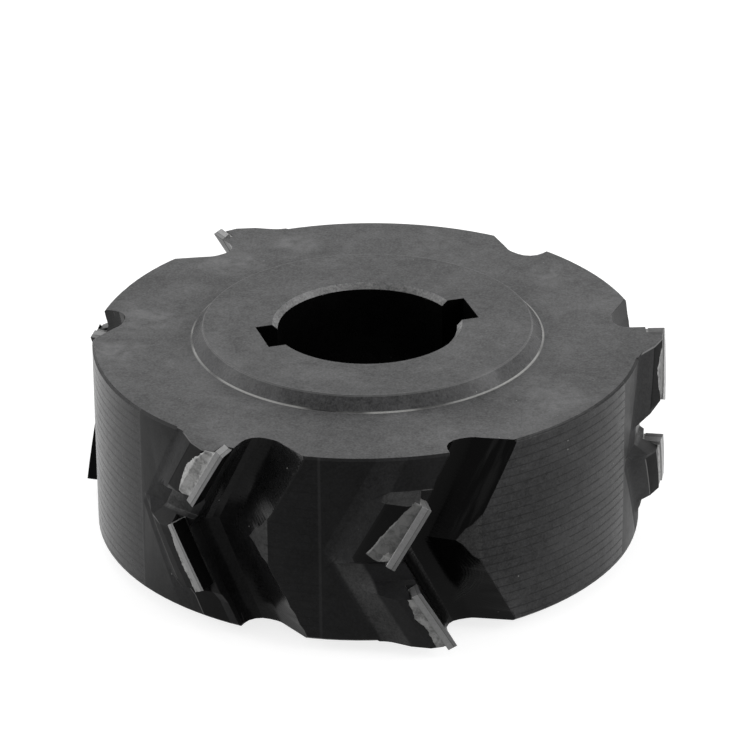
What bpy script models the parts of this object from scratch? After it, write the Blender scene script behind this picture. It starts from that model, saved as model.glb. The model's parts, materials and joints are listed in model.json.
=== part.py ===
"""Diamond sizing cutter: a black steel body with twelve brazed diamond tips.

The body is a thick disc on the Z axis with a raised hub on both faces, a keyed
bore and six chevron gullets. Each gullet has an upper and a lower cutting edge
that lean 30 degrees against each other, and the tips of the two kinds of gullet
sit at four different heights, so that together they cut the whole width.
The origin is on the axis, in the plane of the lower hub face.
"""

import math

import bmesh
import bpy
from mathutils import Vector

# Driving dimensions, in metres and degrees
CUTTING_DIAMETER = 0.100
CUTTING_WIDTH = 0.034
TIP_OVERHANG = 0.0005
TOOTH_HEIGHT = 0.004
HUB_DIAMETER = 0.055
HUB_RAISE = 0.0023
HUB_BEVEL = 0.0019
BORE_DIAMETER = 0.030
BORE_CHAMFER = 0.0009
RIM_CHAMFER = 0.0004
KEYWAY_WIDTH = 0.008
KEYWAY_DEPTH = 0.0033
KEYWAY_ANGLE = 17.0

GULLET_PAIRS = 3
FIRST_GULLET_ANGLE = -128.3
PAIR_SPREAD = 43.9
SHEAR_ANGLE = 30.0
GULLET_DEPTH = 0.0047
GULLET_FILLET = 0.0030
GULLET_FLOOR = 0.0020
HEEL_SLOPE = 25.0
HEEL_FLAT_ANGLE = 17.5
HEEL_FLAT_DIP = 22.0
HEEL_FLAT_WIDTH = 0.0055

TIP_LENGTH = 0.012
TIP_THICKNESS = 0.0016
TIP_DEPTH = 0.0030
TIP_CLEARANCE_ANGLE = 10.0
BRAZE_GAP = 0.0003

LAND_BREAK = 0.0044
BREAK_DROP = 0.0007
LAND_WIDTH = 0.0075
LAND_DROP = 0.0019
RAMP_RUN = 0.0037
RAMP_FILLET = 0.0055
RELIEF_ANGLE = 15.5
RELIEF_DROP = 0.00015
END_STEP_DROP = 0.0034
END_STEP_RUN = 0.0013
END_FADE_RUN = 0.0035

NOTCH_DEPTH = 0.0039
NOTCH_SHIFT = 0.0002
NOTCH_UPPER_SLOPE = 34.0
NOTCH_LOWER_SLOPE = 28.0
NOTCH_FLOOR = 0.0034

# How finely the round forms are divided
ROUND_STEP = 3.0
RISE_STEP = 0.0031
FILLET_STEPS = 4
BEND_STEPS = 2
WELD_DISTANCE = 0.00001

# Sizes that follow from the driving dimensions
CUTTING_RADIUS = CUTTING_DIAMETER / 2
BODY_RADIUS = CUTTING_RADIUS - TOOTH_HEIGHT
FLOOR_RADIUS = BODY_RADIUS - GULLET_DEPTH
BODY_THICKNESS = CUTTING_WIDTH - 2 * TIP_OVERHANG
BODY_BOTTOM = HUB_RAISE
BODY_TOP = HUB_RAISE + BODY_THICKNESS
TOTAL_HEIGHT = BODY_THICKNESS + 2 * HUB_RAISE
MID_HEIGHT = TOTAL_HEIGHT / 2
SHEAR = math.radians(SHEAR_ANGLE)
TWIST_PER_METRE = math.tan(SHEAR) / CUTTING_RADIUS
TIP_HALF_RISE = TIP_LENGTH / 2 * math.cos(SHEAR)
TIP_LEAN_RISE = TIP_THICKNESS * math.sin(SHEAR)
OUTER_ROW = CUTTING_WIDTH / 2 - TIP_HALF_RISE - TIP_LEAN_RISE
INNER_ROW = OUTER_ROW / 3
SEAT_RADIUS = CUTTING_RADIUS - TIP_DEPTH - BRAZE_GAP
ROOT_RADIUS = BODY_RADIUS - RELIEF_DROP
NOTCH_RADIUS = CUTTING_RADIUS - NOTCH_DEPTH
UPPER_FLANK = math.tan(math.radians(NOTCH_UPPER_SLOPE))
LOWER_FLANK = math.tan(math.radians(NOTCH_LOWER_SLOPE))
SEAM_GAP = NOTCH_FLOOR / 10
CORE_SINK = 0.0015
CUT_MARGIN = 0.003


def clear_scene():
    """Remove every object that the file already holds."""
    for thing in list(bpy.data.objects):
        bpy.data.objects.remove(thing, do_unlink=True)


def polar(radius, angle, height):
    """A point from its radius, its angle in radians and its height."""
    return Vector((radius * math.cos(angle), radius * math.sin(angle), height))


def new_object(name, bm, material=None):
    """Turn a bmesh into a linked object with its faces pointing out."""
    bmesh.ops.recalc_face_normals(bm, faces=bm.faces)
    mesh = bpy.data.meshes.new(name)
    bm.to_mesh(mesh)
    bm.free()
    thing = bpy.data.objects.new(name, mesh)
    bpy.context.scene.collection.objects.link(thing)
    if material:
        mesh.materials.append(material)
    return thing


def add_loft(bm, rings):
    """Join rings of equally many points with triangles and close both ends."""
    rows = [[bm.verts.new(point) for point in ring] for ring in rings]
    count = len(rows[0])
    for low, high in zip(rows, rows[1:]):
        for i in range(count):
            j = (i + 1) % count
            bm.faces.new((low[i], low[j], high[i]))
            bm.faces.new((low[j], high[j], high[i]))
    bm.faces.new(rows[0])
    bm.faces.new(rows[-1])


def steel_material():
    """Blackened tool steel."""
    return plain_material("black_oxide_steel", (0.045, 0.046, 0.048), 0.55, 0.7)


def diamond_material():
    """Polycrystalline diamond on hard metal."""
    return plain_material("diamond_on_hard_metal", (0.20, 0.20, 0.20), 0.35, 0.6)


def plain_material(name, colour, roughness, metallic):
    """A Principled material of one colour."""
    material = bpy.data.materials.new(name)
    material.use_nodes = True
    shader = material.node_tree.nodes["Principled BSDF"]
    shader.inputs["Base Color"].default_value = (*colour, 1.0)
    shader.inputs["Roughness"].default_value = roughness
    shader.inputs["Metallic"].default_value = metallic
    return material


def gullet_angles(kind):
    """The apex angles, in radians, of the leading (0) or following (1) gullets."""
    first = FIRST_GULLET_ANGLE + kind * PAIR_SPREAD
    return [math.radians(first + i * 360 / GULLET_PAIRS) for i in range(GULLET_PAIRS)]


def all_gullets():
    """Every gullet's apex angle."""
    return gullet_angles(0) + gullet_angles(1)


def tip_rows():
    """Each tip row: its gullets, its side of the mid-plane and its height."""
    return [
        ("leading_upper", gullet_angles(0), 1, MID_HEIGHT + OUTER_ROW),
        ("following_upper", gullet_angles(1), 1, MID_HEIGHT + INNER_ROW),
        ("leading_lower", gullet_angles(0), -1, MID_HEIGHT - INNER_ROW),
        ("following_lower", gullet_angles(1), -1, MID_HEIGHT - OUTER_ROW),
    ]


def edge_angle(apex, side, height):
    """Where the upper (1) or lower (-1) cutting line lies at a height."""
    return apex + side * TWIST_PER_METRE * (height - MID_HEIGHT)


def heights_between(low, high):
    """Evenly spaced heights no further apart than RISE_STEP."""
    steps = max(1, math.ceil((high - low) / RISE_STEP))
    return [low + (high - low) * i / steps for i in range(steps + 1)]


def relief_radius(angle):
    """The rim's radius: round behind each gullet, then easing in to the teeth."""
    line = math.radians(RELIEF_ANGLE)
    inside_gullet = TWIST_PER_METRE * BODY_THICKNESS / 2 + GULLET_FLOOR / BODY_RADIUS
    for apex in all_gullets():
        past = (angle - apex + math.pi) % (2 * math.pi) - math.pi
        if -line < past < inside_gullet:
            share = min(1.0, (past + line) / line)
            return BODY_RADIUS - RELIEF_DROP * share
    return BODY_RADIUS


def rim_angles():
    """The angles at which the round forms have their corners."""
    steps = round(360 / ROUND_STEP)
    start = math.radians(FIRST_GULLET_ANGLE - RELIEF_ANGLE)
    return [start + 2 * math.pi * i / steps for i in range(steps)]


def make_core(material):
    """The turned body: rim, faces, hubs and chamfered bore in one profile."""
    bore = BORE_DIAMETER / 2
    hub = HUB_DIAMETER / 2
    profile = [
        (bore, BORE_CHAMFER, False),
        (bore + BORE_CHAMFER, 0.0, False),
        (hub, 0.0, False),
        (hub + HUB_BEVEL, BODY_BOTTOM, False),
        (-RIM_CHAMFER, BODY_BOTTOM, True),
        (0.0, BODY_BOTTOM + RIM_CHAMFER, True),
        (0.0, BODY_TOP - RIM_CHAMFER, True),
        (-RIM_CHAMFER, BODY_TOP, True),
        (hub + HUB_BEVEL, BODY_TOP, False),
        (hub, TOTAL_HEIGHT, False),
        (bore + BORE_CHAMFER, TOTAL_HEIGHT, False),
        (bore, TOTAL_HEIGHT - BORE_CHAMFER, False),
    ]
    bm = bmesh.new()
    rings = []
    for radius, height, on_rim in profile:
        ring = []
        for angle in rim_angles():
            reach = radius + (relief_radius(angle) if on_rim else 0.0)
            ring.append(bm.verts.new(polar(reach, angle, height)))
        rings.append(ring)
    count = len(rings[0])
    for this, after in zip(rings, rings[1:] + rings[:1]):
        for i in range(count):
            j = (i + 1) % count
            bm.faces.new((this[i], this[j], after[j], after[i]))
    return new_object("cutter_body", bm, material)


def land_radii():
    """The land's radius ahead of the cutting edge, at its bend and at its crest."""
    tip_heel = CUTTING_RADIUS - TIP_THICKNESS * math.tan(math.radians(TIP_CLEARANCE_ANGLE))
    front = tip_heel - BRAZE_GAP
    bend = CUTTING_RADIUS - BREAK_DROP
    crest = CUTTING_RADIUS - LAND_DROP
    return front + (front - bend) * CUT_MARGIN / LAND_BREAK, bend, crest


def tooth_section(cap):
    """The tooth's outline as arc distance behind the edge and radius.

    Nothing of it reaches above the cap, which shapes the ends of a tooth.
    """
    inside = ROOT_RADIUS - CORE_SINK
    ahead, bend, crest = land_radii()
    foot = LAND_WIDTH + RAMP_RUN
    outline = [
        (-CUT_MARGIN, inside - CORE_SINK),
        (-CUT_MARGIN, ahead),
        (LAND_BREAK, bend),
        (LAND_WIDTH, crest),
    ]
    slope = math.atan2(crest - ROOT_RADIUS, RAMP_RUN)
    trim = RAMP_FILLET * math.tan(slope / 2)
    for i in range(FILLET_STEPS + 1):
        turn = slope * (1 - i / FILLET_STEPS)
        outline.append(
            (foot + trim - RAMP_FILLET * math.sin(turn), ROOT_RADIUS + RAMP_FILLET * (1 - math.cos(turn)))
        )
    outline += [(foot + 2 * trim, inside), (foot + 2 * trim, inside - CORE_SINK)]
    return [(back, min(radius, cap)) for back, radius in outline]


def notch_height(kind):
    """The height of the notch between the two teeth of a gullet."""
    between = (OUTER_ROW - INNER_ROW) / 2
    return MID_HEIGHT + (between if kind == 0 else -between) - NOTCH_SHIFT


def is_outer(centre):
    """Whether a row of tips lies at a face of the body."""
    return abs(centre - MID_HEIGHT) > (OUTER_ROW + INNER_ROW) / 2


def row_notch(side, centre):
    """The height of the notch that a row's teeth end at."""
    return notch_height(0 if is_outer(centre) == (side > 0) else 1)


def tooth_levels(side, centre):
    """Heights of one tooth's level sections, each with its cap."""
    outer_row = is_outer(centre)
    flank = UPPER_FLANK if side > 0 else LOWER_FLANK
    seam = row_notch(side, centre)
    levels = [(seam + side * SEAM_GAP, ROOT_RADIUS - CORE_SINK)]
    for cap in (NOTCH_RADIUS, *sorted(land_radii())):
        start = seam + side * (NOTCH_FLOOR / 2 + (cap - NOTCH_RADIUS) * flank)
        levels.append((start, cap))
    if outer_row:
        end = BODY_TOP if side > 0 else BODY_BOTTOM
    else:
        end = centre + side * (TIP_HALF_RISE + TIP_LEAN_RISE)
    heights = heights_between(min(start, end), max(start, end))
    levels += [(height, CUTTING_RADIUS) for height in (heights if side > 0 else heights[::-1])[1:]]
    if not outer_row:
        levels.append((end + side * END_STEP_RUN, CUTTING_RADIUS - END_STEP_DROP))
        levels.append((end + side * (END_STEP_RUN + END_FADE_RUN), ROOT_RADIUS - CORE_SINK / 3))
    return levels


def tooth_rings(apex, side, centre):
    """Level sections of one tooth from the notch to its outer end."""
    rings = []
    for height, cap in tooth_levels(side, centre):
        line = edge_angle(apex, side, height)
        rings.append([polar(r, line - back / CUTTING_RADIUS, height) for back, r in tooth_section(cap)])
    return rings


def make_teeth(name, apexes, side, centre):
    """The raised teeth of one row, to be joined to the body."""
    bm = bmesh.new()
    for apex in apexes:
        add_loft(bm, tooth_rings(apex, side, centre))
    return make_tool(name, bm)


def gullet_section():
    """The gullet's level outline: along the rim from the rake wall, and out."""
    outside = CUTTING_RADIUS + CUT_MARGIN
    outline = [(0.0, outside)]
    for i in range(FILLET_STEPS + 1):
        turn = math.pi / 2 * i / FILLET_STEPS
        outline.append(
            (GULLET_FILLET * (1 - math.cos(turn)), FLOOR_RADIUS + GULLET_FILLET * (1 - math.sin(turn)))
        )
    heel_start = GULLET_FILLET + GULLET_FLOOR
    slope = math.radians(HEEL_SLOPE)
    bend = GULLET_FILLET * math.tan(slope / 2)
    for i in range(BEND_STEPS + 1):
        turn = slope * i / BEND_STEPS
        outline.append(
            (
                heel_start - bend + GULLET_FILLET * math.sin(turn),
                FLOOR_RADIUS + GULLET_FILLET * (1 - math.cos(turn)),
            )
        )
    reach = heel_start + (CUTTING_RADIUS - FLOOR_RADIUS) / math.tan(slope)
    outline.append((reach, FLOOR_RADIUS + (reach - heel_start) * math.tan(slope)))
    outline.append((reach, outside))
    return outline


def make_gullets():
    """Cutters for all gullets: one chevron each, from face to face."""
    bottom, top = BODY_BOTTOM - CUT_MARGIN, BODY_TOP + CUT_MARGIN
    heights = heights_between(bottom, MID_HEIGHT) + heights_between(MID_HEIGHT, top)[1:]
    bm = bmesh.new()
    for apex in all_gullets():
        rings = []
        for height in heights:
            line = apex + TWIST_PER_METRE * abs(height - MID_HEIGHT)
            ring = [turned(Vector((out, along, 0.0)), line, height) for along, out in gullet_section()]
            rings.append(ring)
        add_loft(bm, rings)
    return make_tool("gullet_cutters", bm)


def turned(point, angle, height):
    """A level point turned about the axis and raised."""
    cos, sin = math.cos(angle), math.sin(angle)
    return Vector((point.x * cos - point.y * sin, point.x * sin + point.y * cos, height))


def make_heel_flats():
    """Cutters for the upright flat at each gullet's inner corner."""
    outside = CUTTING_RADIUS + CUT_MARGIN
    dip = math.radians(HEEL_FLAT_DIP)
    rise = math.radians(HEEL_FLAT_ANGLE - RELIEF_ANGLE) + HEEL_FLAT_WIDTH / BODY_RADIUS
    half = rise / TWIST_PER_METRE
    bm = bmesh.new()
    for apex in all_gullets():
        line = apex + math.radians(HEEL_FLAT_ANGLE)
        section = [
            (BODY_RADIUS, 0.0),
            (BODY_RADIUS - HEEL_FLAT_WIDTH * math.tan(dip), -HEEL_FLAT_WIDTH),
            (outside, -HEEL_FLAT_WIDTH),
            (outside, 0.0),
        ]
        rings = []
        for height in (MID_HEIGHT - half, MID_HEIGHT + half):
            rings.append([turned(Vector((*spot, 0.0)), line, height) for spot in section])
        add_loft(bm, rings)
    return make_tool("heel_flat_cutters", bm)


def plate_point(apex, side, centre, along, behind, radius):
    """A point of a leaning plate: along its edge, behind its face, and out."""
    height = centre + side * (along * math.cos(SHEAR) + behind * math.sin(SHEAR))
    shift = along * math.sin(SHEAR) - behind * math.cos(SHEAR)
    start = edge_angle(apex, side, centre)
    return polar(radius, start + shift / CUTTING_RADIUS, height)


def plate_rings(apex, side, centre, span, section):
    """Sections across a leaning plate from one end of its edge to the other."""
    low, high = span
    steps = max(1, math.ceil((high - low) / RISE_STEP))
    rings = []
    for i in range(steps + 1):
        along = low + (high - low) * i / steps
        rings.append([plate_point(apex, side, centre, along, behind, r) for behind, r in section])
    return rings


def seat_end(side, centre):
    """The height inside the notch at which a row's seats end."""
    half_opening = (SEAT_RADIUS - NOTCH_RADIUS) * (UPPER_FLANK - LOWER_FLANK) / 2
    return row_notch(side, centre) + half_opening


def make_seats(name, apexes, side, centre):
    """Cutters for the open ledges that the tips of one row are brazed to."""
    outside = CUTTING_RADIUS + CUT_MARGIN
    back = TIP_THICKNESS + BRAZE_GAP
    section = [(-CUT_MARGIN, SEAT_RADIUS), (back, SEAT_RADIUS), (back, outside), (-CUT_MARGIN, outside)]
    clear = (TOOTH_HEIGHT + CORE_SINK) / math.cos(SHEAR)
    span = (CUT_MARGIN - TIP_LENGTH / 2, TIP_LENGTH / 2 + clear)
    drop = side * (seat_end(side, centre) - centre)
    bm = bmesh.new()
    for apex in apexes:
        level = []
        for behind, radius in section:
            along = (drop - behind * math.sin(SHEAR)) / math.cos(SHEAR)
            level.append(plate_point(apex, side, centre, along, behind, radius))
        add_loft(bm, [level] + plate_rings(apex, side, centre, span, section))
    return make_tool(name, bm)


def make_keyways():
    """A cutter for the two opposite keyways, right across the bore."""
    reach = BORE_DIAMETER / 2 + KEYWAY_DEPTH
    half = KEYWAY_WIDTH / 2
    corners = [(-reach, -half), (reach, -half), (reach, half), (-reach, half)]
    angle = math.radians(KEYWAY_ANGLE)
    rings = []
    for height in (-CUT_MARGIN, TOTAL_HEIGHT + CUT_MARGIN):
        rings.append([turned(Vector((*corner, 0.0)), angle, height) for corner in corners])
    bm = bmesh.new()
    add_loft(bm, rings)
    return make_tool("keyway_cutter", bm)


def make_tool(name, bm):
    """A hidden object that only shapes the body."""
    tool = new_object(name, bm)
    tool.hide_render = True
    tool.display_type = "WIRE"
    return tool


def apply_tool(body, tool, operation):
    """Add one exact Boolean to the body."""
    step = body.modifiers.new(tool.name, "BOOLEAN")
    step.operation = operation
    step.solver = "EXACT"
    step.object = tool


def settle(body, tools):
    """Keep the shaped mesh, drop the tools and shade the round faces smooth."""
    bpy.context.view_layer.update()
    shaped = body.evaluated_get(bpy.context.evaluated_depsgraph_get())
    mesh = bpy.data.meshes.new_from_object(shaped)
    bm = bmesh.new()
    bm.from_mesh(mesh)
    bmesh.ops.remove_doubles(bm, verts=bm.verts, dist=WELD_DISTANCE)
    bmesh.ops.dissolve_degenerate(bm, edges=bm.edges, dist=WELD_DISTANCE)
    bmesh.ops.triangulate(bm, faces=bm.faces)
    loose = [edge for edge in bm.edges if not edge.link_faces]
    bmesh.ops.delete(bm, geom=loose, context="EDGES")
    bm.to_mesh(mesh)
    bm.free()
    body.modifiers.clear()
    body.data = mesh
    for tool in tools:
        bpy.data.objects.remove(tool, do_unlink=True)
    shade(body)


def shade(thing):
    """Shade smooth, with edges over 25 degrees kept crisp."""
    thing.data.shade_smooth()
    thing.data.set_sharp_from_angle(angle=math.radians(25))


def make_body(material):
    """The steel body with its teeth, gullets, seats and keyways."""
    body = make_core(material)
    keyways = make_keyways()
    apply_tool(body, keyways, "DIFFERENCE")
    tools = [keyways]
    for name, apexes, side, centre in tip_rows():
        teeth = make_teeth(name + "_teeth", apexes, side, centre)
        apply_tool(body, teeth, "UNION")
        tools.append(teeth)
    cutters = [make_gullets(), make_heel_flats()]
    for name, apexes, side, centre in tip_rows():
        cutters.append(make_seats(name + "_seat_cutters", apexes, side, centre))
    for cutter in cutters:
        apply_tool(body, cutter, "DIFFERENCE")
    settle(body, tools + cutters)
    return body


def make_tips(material):
    """The twelve diamond tips, each a short leaning plate."""
    clearance = math.tan(math.radians(TIP_CLEARANCE_ANGLE))
    inner = CUTTING_RADIUS - TIP_DEPTH
    heel = CUTTING_RADIUS - TIP_THICKNESS * clearance
    section = [(0.0, inner), (TIP_THICKNESS, inner), (TIP_THICKNESS, heel), (0.0, CUTTING_RADIUS)]
    span = (-TIP_LENGTH / 2, TIP_LENGTH / 2)
    for name, apexes, side, centre in tip_rows():
        for number, apex in enumerate(apexes, start=1):
            bm = bmesh.new()
            add_loft(bm, plate_rings(apex, side, centre, span, section))
            tip = new_object(f"{name}_tip_{number}", bm, material)
            shade(tip)


def main():
    """Build the cutter."""
    clear_scene()
    make_body(steel_material())
    make_tips(diamond_material())


main()
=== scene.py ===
"""Looks of the diamond sizing cutter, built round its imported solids.

All lengths are metres, in the frame of the solids: the origin is on the axis in
the plane of the lower hub face, +Z goes out of the upper face.
"""

import json
import math
from types import SimpleNamespace

import bmesh
import bpy
from mathutils import Euler, Matrix, Vector, noise

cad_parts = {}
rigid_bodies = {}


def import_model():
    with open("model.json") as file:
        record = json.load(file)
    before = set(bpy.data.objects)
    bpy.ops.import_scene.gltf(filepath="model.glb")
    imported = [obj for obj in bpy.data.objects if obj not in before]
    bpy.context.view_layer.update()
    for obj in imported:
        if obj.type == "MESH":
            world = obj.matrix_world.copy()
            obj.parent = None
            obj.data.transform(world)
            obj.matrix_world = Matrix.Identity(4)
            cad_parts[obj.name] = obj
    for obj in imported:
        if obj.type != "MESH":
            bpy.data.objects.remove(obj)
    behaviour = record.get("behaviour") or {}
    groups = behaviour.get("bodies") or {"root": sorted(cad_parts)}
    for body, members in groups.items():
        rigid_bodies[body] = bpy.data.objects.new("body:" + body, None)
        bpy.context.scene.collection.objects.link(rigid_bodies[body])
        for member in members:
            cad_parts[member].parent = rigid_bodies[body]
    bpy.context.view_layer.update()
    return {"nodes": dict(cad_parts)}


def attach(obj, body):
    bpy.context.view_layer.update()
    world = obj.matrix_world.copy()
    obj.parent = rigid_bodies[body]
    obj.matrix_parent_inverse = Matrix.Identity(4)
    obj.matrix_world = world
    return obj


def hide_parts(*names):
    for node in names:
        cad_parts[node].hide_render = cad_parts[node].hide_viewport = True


# Sizes repeated from the solids
CUTTING_RADIUS = 0.050
BODY_RADIUS = 0.046
HUB_RADIUS = 0.0275
HUB_FOOT = 0.0294
BORE_RADIUS = 0.015
BORE_CHAMFER = 0.0009
BODY_BOTTOM = 0.0023
BODY_TOP = 0.0353
MID_HEIGHT = 0.0188
FIRST_GULLET = -128.3
THIRD = 120.0
PAIR_SPREAD = 43.9
RELIEF_ANGLE = 15.5
HEEL_ANGLE = 17.5
HEEL_FLAT_LEAN = math.tan(math.radians(22))
SHEAR = math.radians(30)
TWIST = math.tan(SHEAR) / CUTTING_RADIUS
TIP_LENGTH = 0.012
TIP_THICKNESS = 0.0016
TIP_DEPTH = 0.0030
CLEARANCE = math.tan(math.radians(10))
BRAZE_GAP = 0.0003
LAND_BREAK = 0.0044
LAND_WIDTH = 0.0075
LAND_START = 0.003
LAND_FRONT = CUTTING_RADIUS - TIP_THICKNESS * CLEARANCE - BRAZE_GAP
LAND_BEND = CUTTING_RADIUS - 0.0007
LAND_CREST = CUTTING_RADIUS - 0.0019
NOTCH_RADIUS = CUTTING_RADIUS - 0.0039
NOTCH_SHIFT = 0.0002
NOTCH_HALF_FLOOR = 0.0017
UPPER_FLANK = math.tan(math.radians(34))
LOWER_FLANK = math.tan(math.radians(28))
OUTER_ROW = 0.0170 - TIP_LENGTH / 2 * math.cos(SHEAR) - TIP_THICKNESS * math.sin(SHEAR)
INNER_ROW = OUTER_ROW / 3

# The body's zones. Round the axis they are given in degrees from a cutting line:
# where a zone starts, where it ends and how soft its edges are. The leading
# gullets' cutting line is at 0 and again at 120, the following ones' at 43.9.
LEADING = THIRD
FOLLOWING = PAIR_SPREAD
GULLETS = (0.0, PAIR_SPREAD)
CREST_ANGLE = math.degrees(LAND_WIDTH / CUTTING_RADIUS)
GULLET = (-0.1, 14.7, 0.15)
GULLET_LIP = (14.85, 15.0, 0.12)
STREAKS = (11.2, 13.4, 1.2)
RAMP = (-14.6, -8.8, 0.5)
LOWER_RAMP = (-13.5, -9.0, 1.0)
TOP_EDGE = (-12.0, -3.0, 1.0)
SHOULDER = (-9.4, -0.6, 0.5)
SEAT_BACK = (-8.8, -2.0, 0.15)
UPPER_LAND = (-8.7, -1.2, 0.15)
OUTER_LAND = (-8.5, -5.1, 0.1)
LOW_LAND = (-8.5, -0.9, 0.15)
POCKET = (-8.6, -0.2, 0.2)
CREST = (-CREST_ANGLE - 0.06, -CREST_ANGLE + 0.06, 0.12)
# The open rim starts this many degrees before the heel's angle
HEEL_ROUNDING = 2.5
# Angles ahead of a line start this many degrees before it, to keep its edge whole
WRAP = 2.0

# Radii between which a zone fades in
ROUND_RIM = (BODY_RADIUS - 0.00028, BODY_RADIUS - 0.00018)
NEAR_RIM = (BODY_RADIUS - 0.0015, BODY_RADIUS - 0.0010)
ON_LAND = (BODY_RADIUS + 0.0012, BODY_RADIUS + 0.0018)
PAST_HUB = (HUB_FOOT + 0.002, HUB_FOOT + 0.003)
IN_BORE = (BORE_RADIUS + 0.0042, BORE_RADIUS + 0.0034)

# Heights between which a zone fades in, or its ends and how soft they are
ABOVE_POCKET = (0.0258, 0.0262)
BELOW_UPPER_TIP = (0.0190, 0.0185)
BELOW_CREST = (0.0187, 0.0183)
BELOW_LOWER_TIP = (0.0094, 0.0090)
BELOW_MIDDLE = (MID_HEIGHT - 0.0005, MID_HEIGHT - 0.0025)
BELOW_BEND = (MID_HEIGHT - 0.002, MID_HEIGHT - 0.005)
ABOVE_BEND = (MID_HEIGHT - 0.001, MID_HEIGHT + 0.003)
SHOULDER_HEIGHT = (0.0262, 0.0302, 0.0003)
SEAT_BACK_HEIGHT = (MID_HEIGHT - 0.001, 0.0300, 0.0004)
TOP_EDGE_HEIGHT = (BODY_TOP - 0.00030, BODY_TOP - 0.00004, 0.00005)

# Noise textures: scale, detail, roughness and distortion
CLOUDS = (62, 4, 0.62, 0.6)
WISPS = (150, 3, 0.6, 1.2)
GRAIN = (2600, 2, 0.7)
MOTTLE = (900, 3, 0.65)
RUBBED_CLOUDS = (210, 4, 0.65, 0.8)
SHEEN = (700, 3, 0.6)
SPECK_CELLS = 620
SPECK_SHARE = (0.94, 0.95)

# The oxide's greys in each zone, at its darkest and its lightest tone
OXIDE = {
    "face": ((0.004, 0.004, 0.004), (0.152, 0.152, 0.154)),
    "flank": ((0.001, 0.001, 0.001), (0.019, 0.019, 0.0197)),
    "broad_rim": ((0.002, 0.002, 0.002), (0.058, 0.058, 0.059)),
    "ramp": ((0.002, 0.002, 0.002), (0.032, 0.032, 0.033)),
    "lower_ramp": ((0.004, 0.004, 0.004), (0.090, 0.090, 0.090)),
    "cut": ((0.0005, 0.0005, 0.0005), (0.020, 0.020, 0.0205)),
    "heel_flat": ((0.002, 0.002, 0.002), (0.085, 0.085, 0.085)),
    # Painted light on the pocket floor between two teeth
    "lit_pocket": ((0.004, 0.004, 0.004), (0.13, 0.13, 0.13)),
    # Painted light on the shoulder
    "lit_shoulder": ((0.004, 0.004, 0.004), (0.115, 0.115, 0.115)),
    "bevel": ((0.003, 0.003, 0.003), (0.113, 0.113, 0.115)),
    "chamfer": ((0.02, 0.02, 0.02), (0.42, 0.42, 0.42)),
}
RUBBED_GREY = (0.21, 0.21, 0.212)
# A painted highlight along the foot of the hub step
FOOT_HIGHLIGHT = (0.34, 0.34, 0.33)
LIGHT_SPECK = (0.32, 0.32, 0.31)

# Rubbed places on the faces: their centre and how far they reach
RUBBED_PLACES = (
    (-0.0375, 0.0075, 0.0105),
    (-0.0425, -0.0060, 0.0080),
    (-0.0225, 0.0275, 0.0080),
    (-0.0125, 0.0365, 0.0060),
    (0.0300, -0.0240, 0.0090),
    (0.0330, 0.0230, 0.0080),
)

# Marks that the tools left: their pitch, and where the arcs have their centre
TURNING_PITCH = 0.00151
CUSP_PITCH = 0.0006
ARC_PITCH = 0.00042
ARC_CENTRE = PAIR_SPREAD + 10.0
ARC_HEIGHT = 0.0112
ARC_FLOOR = 0.0435
ARC_BAND = (0.0044, 0.0058, 0.0014)

# A tip's layers, counted from its rake face, and its small edge breaks
TIP_BREAK = 0.00004
DIAMOND_END = 0.00052
BOND_END = 0.00060
BOND_DIP = 0.00003

# How far the braze runs over the land behind a tip: from the tip's inner end
# (share -1) to its outer end (share 1), and how much the run's edge wanders
RUN_WIDTHS = {
    "leading_upper": (
        [(-1, 0.0022), (-0.6, 0.0031), (-0.2, 0.0035), (0.2, 0.0028), (0.6, 0.0019), (1, 0.0013)],
        0.00012,
    ),
    "following_upper": ([(-1, 0.0036), (0, 0.0027), (0.6, 0.0020), (1, 0.0012)], 0.00005),
    "leading_lower": ([(-1, 0.0003), (-0.4, 0.0008), (0.2, 0.0011), (1, 0.0008)], 0.00014),
    "following_lower": ([(-1, 0.0009), (-0.3, 0.0014), (0.4, 0.0011), (1, 0.0013)], 0.00035),
}

# The film of braze on the land: its grid, its reach and its small heights
FILM_COLUMNS = 84
FILM_ROWS = 34
FILM_REACH = 0.0046
FILM_START = 0.00002
FILM_HEIGHT = 0.00011
FILM_EDGE = 0.00022
FILM_ENDS = 0.0003
FILM_RIPPLE = 0.00002
FILM_TRIM = -0.00003
FILM_FRAY = 0.00016
SMOOTH_FRAY = 0.00006
FRAY_SCALE = 2600
HEAP_HEIGHT = 0.00016
HEAP_REACH = 0.00030
BLOB_COLUMNS = 11
BLOB_WANDER = 4
BLOB_ROWS = 9

# The bead of braze in the joint
BEAD_STEPS = 60
BEAD_SWELL = 0.00002
BEAD_END = 0.00006
BEAD_TOUCH = 0.00001

# Where the photograph was taken from: the place, and the turns round X, Y and Z
CAMERA_PLACE = (0.0, -0.694286, 0.367573)
CAMERA_TURNS = (63.9219, 0.4074, -0.3000)
CAMERA_LENS = 220.81
CAMERA_SENSOR = 36

# Lamps: name, place, size and watts
LAMP_AIM = (0, 0, 0.02)
LAMPS = (
    ("left_softbox", (-0.62, -0.02, 0.22), (0.5, 0.5), 2.3),
    ("right_softbox", (0.60, -0.15, 0.22), (0.5, 0.5), 3.6),
    ("back_softbox", (-0.18, 0.42, 0.60), (0.7, 0.5), 1.2),
)


# Materials


def grey(level):
    return (level, level, level)


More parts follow.
